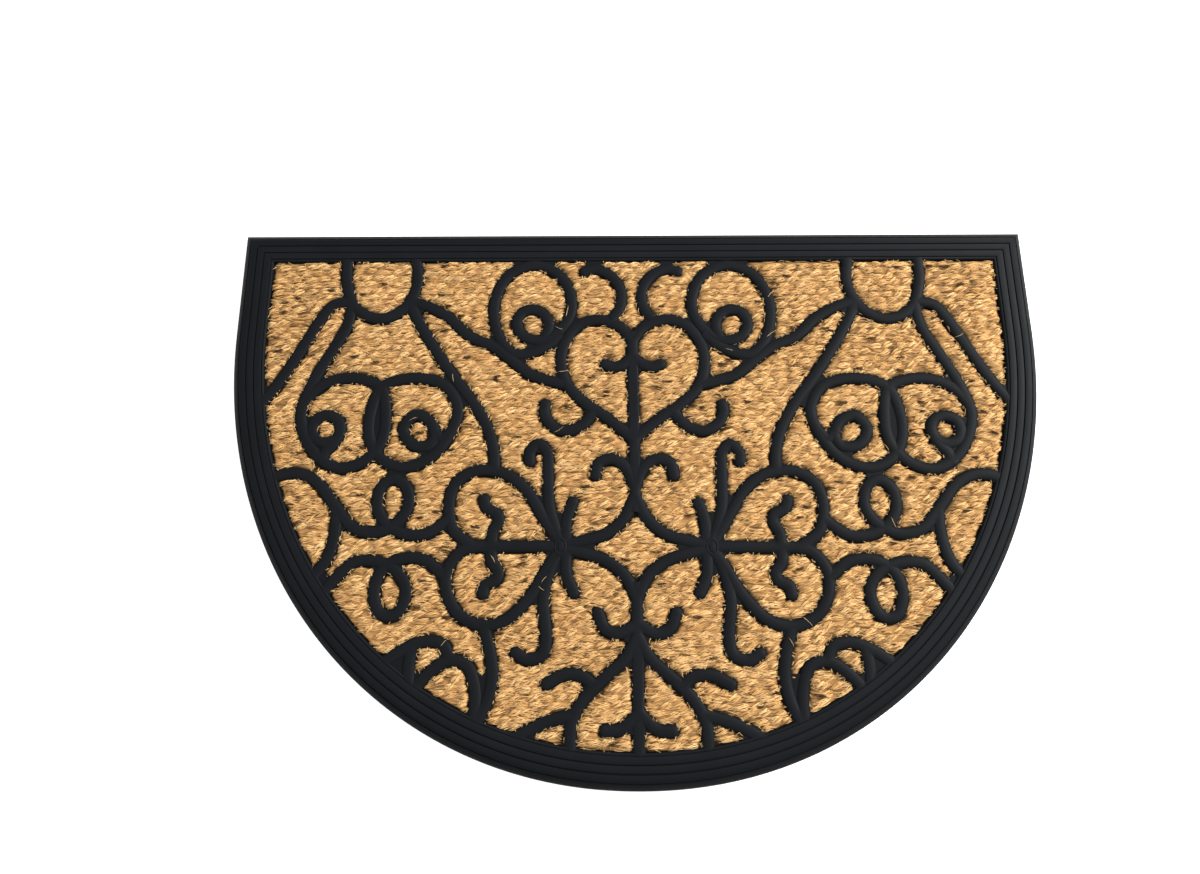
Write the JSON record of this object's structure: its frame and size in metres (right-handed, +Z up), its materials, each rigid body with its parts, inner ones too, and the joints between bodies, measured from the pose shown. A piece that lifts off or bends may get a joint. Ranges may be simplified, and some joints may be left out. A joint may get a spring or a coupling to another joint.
{
  "type": "half round doormat",
  "caption": "Half-round entrance mat: a woven coir panel set in a black rubber moulding with a ridged rim and a pierced scrollwork grille.",
  "frame": {"origin": "on the floor under the middle of the mat's bounding box", "axes": "+X along the straight edge, +Y towards the straight edge with the round end at -Y, +Z up out of the floor"},
  "size_m": [0.6, 0.405, 0.0094],
  "materials": {
    "rubber": "satin moulded black rubber, dusty on the edges",
    "coir": "matt golden brown woven coir yarn"
  },
  "bodies": {
    "root": {"rubber_moulding": "rubber", "coir_panel": "coir"}
  },
  "joints": []
}
